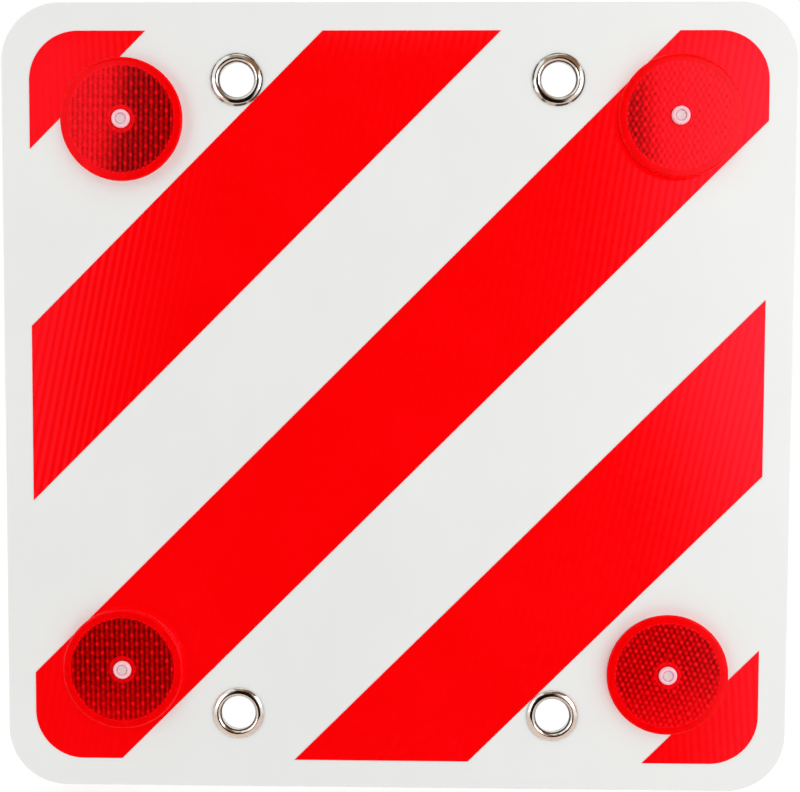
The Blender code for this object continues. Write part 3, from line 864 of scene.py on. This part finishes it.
# Pale floor, just under white to the camera where nothing shades it. Other rays pass through it,
# because it would hide the lower part of the screen from the panel's gloss
def make_floor():
    mesh = bpy.data.meshes.new("floor")
    level = cad_box[0].z - FLOOR_DROP
    far, behind = FLOOR_REACH, FLOOR_REACH_BEHIND
    corners = [(-far, -far, level), (far, -far, level), (far, behind, level), (-far, behind, level)]
    mesh.from_pydata(corners, [], [(0, 1, 2, 3)])
    floor = bpy.data.objects.new("floor", mesh)
    bpy.context.collection.objects.link(floor)
    new, tree, shader, place = material("floor_pale", Roughness=0.8)
    shader.inputs["Specular IOR Level"].default_value = 0.1
    cloud = noise(tree, place, 0.5, 2.0)
    tree.links.new(
        ramp(tree, cloud, [(0.3, (0.83, 0.83, 0.82)), (0.7, (0.85, 0.85, 0.84))]),
        shader.inputs["Base Color"],
    )
    path = tree.nodes.new("ShaderNodeLightPath")
    shader.inputs["Emission Color"].default_value = WHITE
    own_light = math_node(tree, "MULTIPLY", path.outputs["Is Camera Ray"], FLOOR_LIGHT)
    tree.links.new(own_light, shader.inputs["Emission Strength"])
    floor.data.materials.append(new)
    floor.visible_diffuse = False
    floor.visible_glossy = False
    floor.visible_transmission = False


# Screen behind the camera, dark in the middle and brighter to the sides, mostly the right. The gloss
# of the panel mirrors it, and the camera and diffuse rays pass through it
def make_screen():
    mesh = bpy.data.meshes.new("screen")
    corners = [
        (SCREEN_LEFT, 0, SCREEN_BOTTOM), (SCREEN_LEFT, 0, SCREEN_TOP),
        (SCREEN_RIGHT, 0, SCREEN_TOP), (SCREEN_RIGHT, 0, SCREEN_BOTTOM),
    ]
    mesh.from_pydata(corners, [], [(0, 1, 2, 3)])
    screen = bpy.data.objects.new("screen", mesh)
    bpy.context.collection.objects.link(screen)
    screen.location = (CAMERA_PLACE[0], SCREEN_PLACE, CAMERA_PLACE[2])
    new = bpy.data.materials.new("screen_dark")
    new.use_nodes = True
    tree = new.node_tree
    tree.nodes.clear()
    parts = tree.nodes.new("ShaderNodeSeparateXYZ")
    tree.links.new(tree.nodes.new("ShaderNodeTexCoord").outputs["Object"], parts.inputs["Vector"])
    across, up = parts.outputs["X"], parts.outputs["Z"]
    below = math_node(tree, "MAXIMUM", math_node(tree, "MINIMUM", up, 0.0), -0.30)
    right = math_node(tree, "MULTIPLY_ADD", below, 0.40, across)
    sunk = math_node(tree, "MULTIPLY_ADD", up, 0.36, 0.02)
    raised = math_node(tree, "MINIMUM", math_node(tree, "MULTIPLY", up, 0.20), sunk)
    left = math_node(tree, "MULTIPLY_ADD", across, -0.97, math_node(tree, "SUBTRACT", raised, 0.155))
    left = math_node(tree, "MINIMUM", left, 0.312)
    glow = tree.nodes.new("ShaderNodeEmission")
    shades = ramp(tree, math_node(tree, "MAXIMUM", right, left), [
        (0.00, (0.006, 0.005, 0.005)), (0.18, (0.010, 0.007, 0.006)), (0.21, (0.030, 0.021, 0.018)),
        (0.24, (0.09, 0.062, 0.056)), (0.27, (0.16, 0.12, 0.115)), (0.31, (0.28, 0.24, 0.24)),
        (0.36, (0.44, 0.42, 0.42)), (0.42, (0.69, 0.68, 0.68)), (0.60, (0.9, 0.9, 0.9)),
    ])
    tree.links.new(shades, glow.inputs["Color"])
    output = tree.nodes.new("ShaderNodeOutputMaterial")
    tree.links.new(glow.outputs["Emission"], output.inputs["Surface"])
    screen.data.materials.append(new)
    screen.visible_camera = False
    screen.visible_diffuse = False
    screen.visible_shadow = False


# World: white to the camera, and elsewhere white with the dim room behind the camera. Mirrors that
# face the front also show a table below, and a ceiling with beams above
def make_world():
    world = bpy.data.worlds.new("studio")
    bpy.context.scene.world = world
    world.use_nodes = True
    tree = world.node_tree
    background = tree.nodes["Background"]
    direction = tree.nodes.new("ShaderNodeTexCoord").outputs["Generated"]
    parts = tree.nodes.new("ShaderNodeSeparateXYZ")
    tree.links.new(direction, parts.inputs["Vector"])
    ahead = math_node(tree, "MAXIMUM", math_node(tree, "MULTIPLY", parts.outputs["Y"], -1.0), 0.02)
    across = math_node(tree, "DIVIDE", parts.outputs["X"], ahead)
    up = math_node(tree, "DIVIDE", parts.outputs["Z"], ahead)
    shifted = math_node(tree, "ADD", across, 0.07)
    shifted = math_node(tree, "MULTIPLY_ADD", up, 0.12, shifted)
    wide = math_node(tree, "MAXIMUM", shifted, math_node(tree, "MULTIPLY", shifted, -0.7))
    tall = math_node(tree, "POWER", math_node(tree, "MULTIPLY", up, 0.5), 2.0)
    distance = math_node(tree, "SQRT", math_node(tree, "ADD", math_node(tree, "POWER", wide, 2.0), tall))
    room = ramp(tree, distance, [
        (0.00, (0.006, 0.005, 0.005)), (0.16, (0.008, 0.006, 0.005)), (0.24, (0.09, 0.050, 0.032)),
        (0.31, (0.34, 0.24, 0.18)), (0.40, (0.85, 0.82, 0.79)), (0.48, (1.0, 1.0, 1.0)),
    ])
    path = tree.nodes.new("ShaderNodeLightPath")
    height = parts.outputs["Z"]
    table = span(tree, height, -0.15, -0.45)
    side = parts.outputs["X"]
    to_left = span(tree, math_node(tree, "MULTIPLY_ADD", height, 0.35, side), -0.12, 0.0)
    to_right = span(tree, math_node(tree, "SUBTRACT", side, height), 0.20, 0.05)
    sides = math_node(tree, "MULTIPLY", to_left, to_right)
    level = math_node(tree, "MULTIPLY", span(tree, height, 0.15, 0.30), span(tree, height, 0.98, 0.88))
    ceiling = math_node(tree, "MULTIPLY", level, sides)
    beams = math_node(tree, "MULTIPLY", ceiling, span(tree, side, 0.02, 0.14))
    before = span(tree, parts.outputs["Y"], 0.05, -0.15)
    mirrors = math_node(tree, "MULTIPLY", before, path.outputs["Is Glossy Ray"])
    mirrored = room
    for part, colour in (
        (table, (0.82, 0.64, 0.56, 1.0)),
        (ceiling, (0.38, 0.31, 0.23, 1.0)),
        (beams, (0.26, 0.135, 0.072, 1.0)),
    ):
        mirrored = colour_mix(tree, math_node(tree, "MULTIPLY", part, mirrors), mirrored, colour)
    seen = colour_mix(tree, path.outputs["Is Camera Ray"], mirrored, WHITE)
    tree.links.new(seen, background.inputs["Color"])
    background.inputs["Strength"].default_value = 1.0


def add_softbox(name, place, size, power):
    """A rectangular lamp that points at the middle of the panel."""
    light = bpy.data.lights.new(name, "AREA")
    light.shape = "RECTANGLE"
    light.size, light.size_y = size
    light.energy = power
    lamp = bpy.data.objects.new(name, light)
    bpy.context.collection.objects.link(lamp)
    lamp.location = place
    lamp.rotation_euler = (-Vector(place)).to_track_quat("-Z", "Y").to_euler()


def make_lights():
    add_softbox("softbox_right", (1.5, -1.3, 0.35), (1.0, 1.2), 14.5)
    add_softbox("softbox_left", (-1.6, -1.3, 0.1), (1.0, 1.2), 5.7)


def make_camera():
    camera = bpy.data.cameras.new("camera")
    camera.lens = CAMERA_LENS
    camera.sensor_width = CAMERA_SENSOR
    camera.sensor_fit = "HORIZONTAL"
    camera.clip_start = 0.01
    viewer = bpy.data.objects.new("camera", camera)
    bpy.context.collection.objects.link(viewer)
    axes = Matrix((CAMERA_RIGHT, CAMERA_UP, CAMERA_BACK)).transposed()
    viewer.matrix_world = Matrix.Translation(CAMERA_PLACE) @ axes.to_4x4()
    bpy.context.scene.camera = viewer


make_plate_and_films()
make_eyelets()
make_reflectors()
make_floor()
make_screen()
make_world()
make_lights()
make_camera()
bpy.context.scene.view_settings.view_transform = "Standard"
